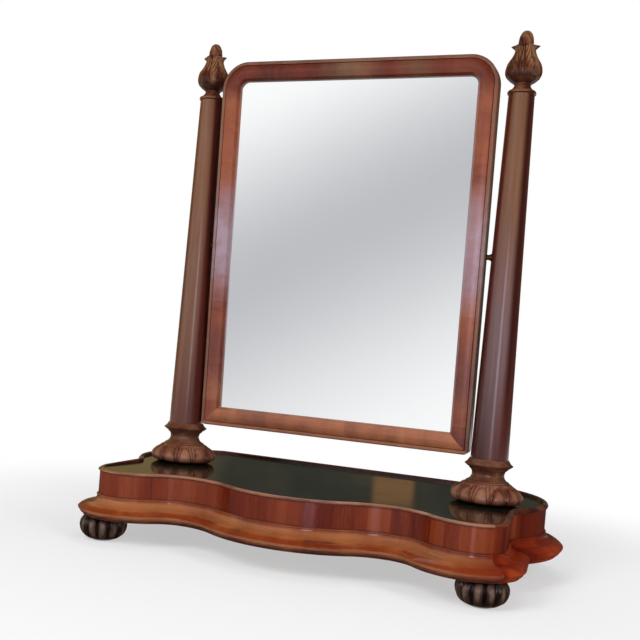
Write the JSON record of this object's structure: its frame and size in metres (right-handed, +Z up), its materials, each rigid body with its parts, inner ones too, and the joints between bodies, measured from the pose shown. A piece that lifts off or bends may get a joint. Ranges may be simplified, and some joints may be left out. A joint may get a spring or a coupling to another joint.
{
  "type": "dressing table mirror",
  "caption": "Free-standing mahogany swing mirror: framed glass pivots between tapered columns on a serpentine platform base with an inset dark slab and gadrooned bun feet.",
  "frame": {"origin": "on the floor, under the middle of the base", "axes": "+Z up, the front faces -Y, +X to the right seen from the front"},
  "size_m": [0.789, 0.4485, 0.8693],
  "materials": {
    "veneer": "french polished cross-grain mahogany veneer",
    "moulding": "french polished mahogany moulding",
    "bead": "polished lighter mahogany bead",
    "carving": "carved and polished mahogany, darker in the hollows",
    "feet": "carved dark mahogany",
    "columns": "turned and french polished mahogany",
    "frame": "polished flame mahogany veneer",
    "carcase": "plain unpolished softwood, toned with age",
    "slab": "polished black marble",
    "mirror": "silvered plate glass",
    "brass": "dull brass",
    "screws": "dull steel",
    "leather": "plain leather"
  },
  "bodies": {
    "base": {"base_board": "carcase", "bed_board": "carcase", "collar_left": "carving", "collar_right": "carving", "column_block_left": "carcase", "column_block_right": "carcase", "column_screws": "screws", "column_shaft_left": "columns", "column_shaft_right": "columns", "finial_left": "carving", "finial_right": "carving", "foot_front_left": "feet", "foot_front_right": "feet", "foot_rear_left": "feet", "foot_rear_right": "feet", "friction_washer_left": "leather", "friction_washer_right": "leather", "frieze_back": "carcase", "frieze_end_left": "veneer", "frieze_end_right": "veneer", "frieze_front": "veneer", "glue_blocks": "carcase", "pivot_socket_left": "brass", "pivot_socket_right": "brass", "plinth_back_rail": "carcase", "plinth_end_left": "moulding", "plinth_end_right": "moulding", "plinth_front": "moulding", "rim_back": "bead", "rim_end_left": "bead", "rim_end_right": "bead", "rim_front": "bead", "stone_slab": "slab"},
    "mirror": {"backboard": "carcase", "backboard_screws": "screws", "frame_bottom_rail": "frame", "frame_stile_left": "frame", "frame_stile_right": "frame", "frame_top_rail": "frame", "mirror_glass": "mirror", "packing_blocks": "carcase", "pivot_plate_left": "brass", "pivot_plate_right": "brass", "pivot_plate_screws": "screws"}
  },
  "joints": [
    {"name": "mirror_tilt", "type": "hinge", "parent": "base", "child": "mirror", "pos_m": [0, 0.03125, 0.50775], "axis": [1, 0, 0], "continuous": true}
  ]
}
